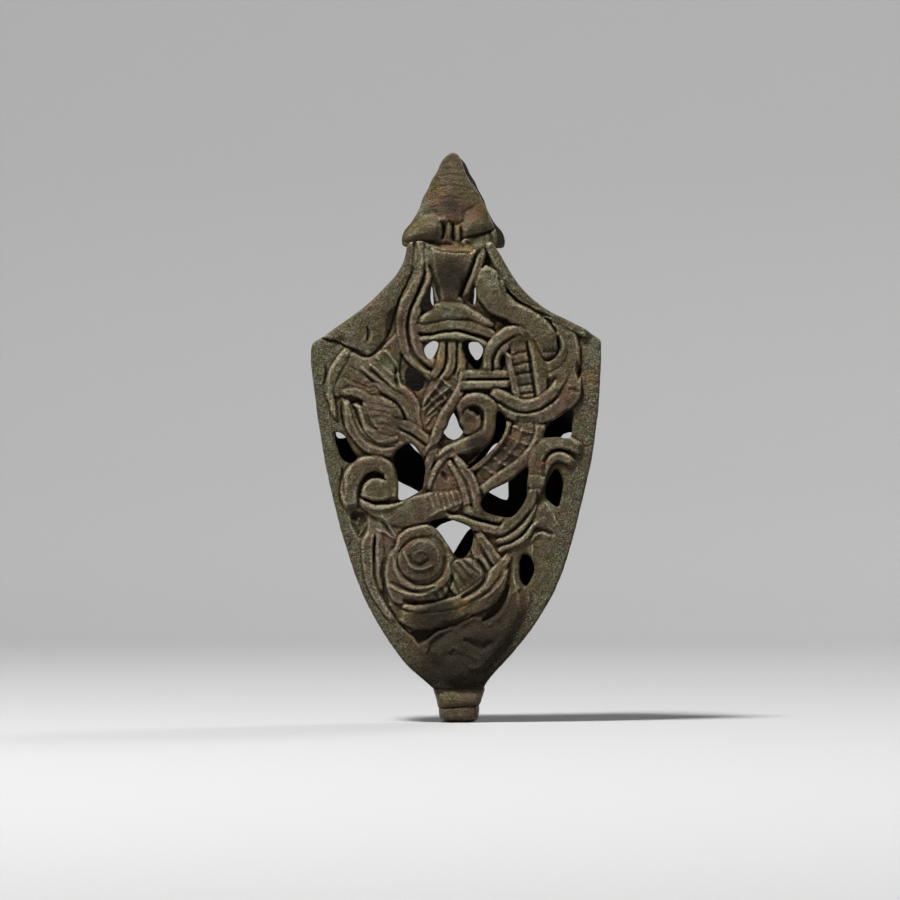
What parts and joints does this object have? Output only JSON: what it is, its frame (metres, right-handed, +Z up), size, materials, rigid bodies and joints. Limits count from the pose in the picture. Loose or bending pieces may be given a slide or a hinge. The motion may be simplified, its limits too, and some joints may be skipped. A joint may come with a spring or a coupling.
{
  "type": "scabbard chape",
  "caption": "Shield-shaped openwork bronze chape with ribbon-animal ornament, an animal head on each face and a knobbed foot, open at the top for a scabbard's tip.",
  "frame": {"origin": "under the middle of the bounding box, at the height of the knob's flat end", "axes": "+Z up from the knob to the heads, the front face towards -Y, +X to the right as the front face is looked at"},
  "size_m": [0.0432, 0.0138, 0.084],
  "materials": {
    "bronze": "cast bronze with a dark brown burial patina, smooth on the high forms",
    "worn_bronze": "cast bronze with a granular olive-grey verdigris"
  },
  "bodies": {
    "root": {"front_face_plate": "bronze", "front_left_rim": "worn_bronze", "front_right_rim": "worn_bronze", "front_neck": "bronze", "front_left_tendril": "bronze", "front_shoulder_lobe": "bronze", "front_right_limb": "bronze", "front_right_ring": "bronze", "front_right_hip": "bronze", "front_cross_bars": "bronze", "front_hatched_neck": "bronze", "front_centre_curl": "bronze", "front_left_leaf": "bronze", "front_shoulder_strand": "bronze", "front_leaf_stem": "bronze", "front_hatched_body": "bronze", "front_crossing_strand": "bronze", "front_lower_limb": "bronze", "front_left_spiral": "bronze", "front_right_tendril": "bronze", "front_feather_strands": "bronze", "front_hip_spiral": "bronze", "front_hip_fan": "bronze", "front_leaf_bands": "bronze", "front_long_strand": "bronze", "front_foot_lobe": "bronze", "front_head": "bronze", "back_face_plate": "bronze", "back_left_rim": "worn_bronze", "back_right_rim": "worn_bronze", "back_neck": "bronze", "back_left_tendril": "bronze", "back_shoulder_lobe": "bronze", "back_right_limb": "bronze", "back_right_ring": "bronze", "back_right_hip": "bronze", "back_cross_bars": "bronze", "back_hatched_neck": "bronze", "back_centre_curl": "bronze", "back_left_leaf": "bronze", "back_shoulder_strand": "bronze", "back_leaf_stem": "bronze", "back_hatched_body": "bronze", "back_crossing_strand": "bronze", "back_lower_limb": "bronze", "back_left_spiral": "bronze", "back_right_tendril": "bronze", "back_feather_strands": "bronze", "back_hip_spiral": "bronze", "back_hip_fan": "bronze", "back_leaf_bands": "bronze", "back_long_strand": "bronze", "back_foot_lobe": "bronze", "back_head": "bronze", "left_side_wall": "worn_bronze", "right_side_wall": "worn_bronze", "foot": "worn_bronze", "knob_collar": "bronze", "knob_end": "bronze"}
  },
  "joints": []
}
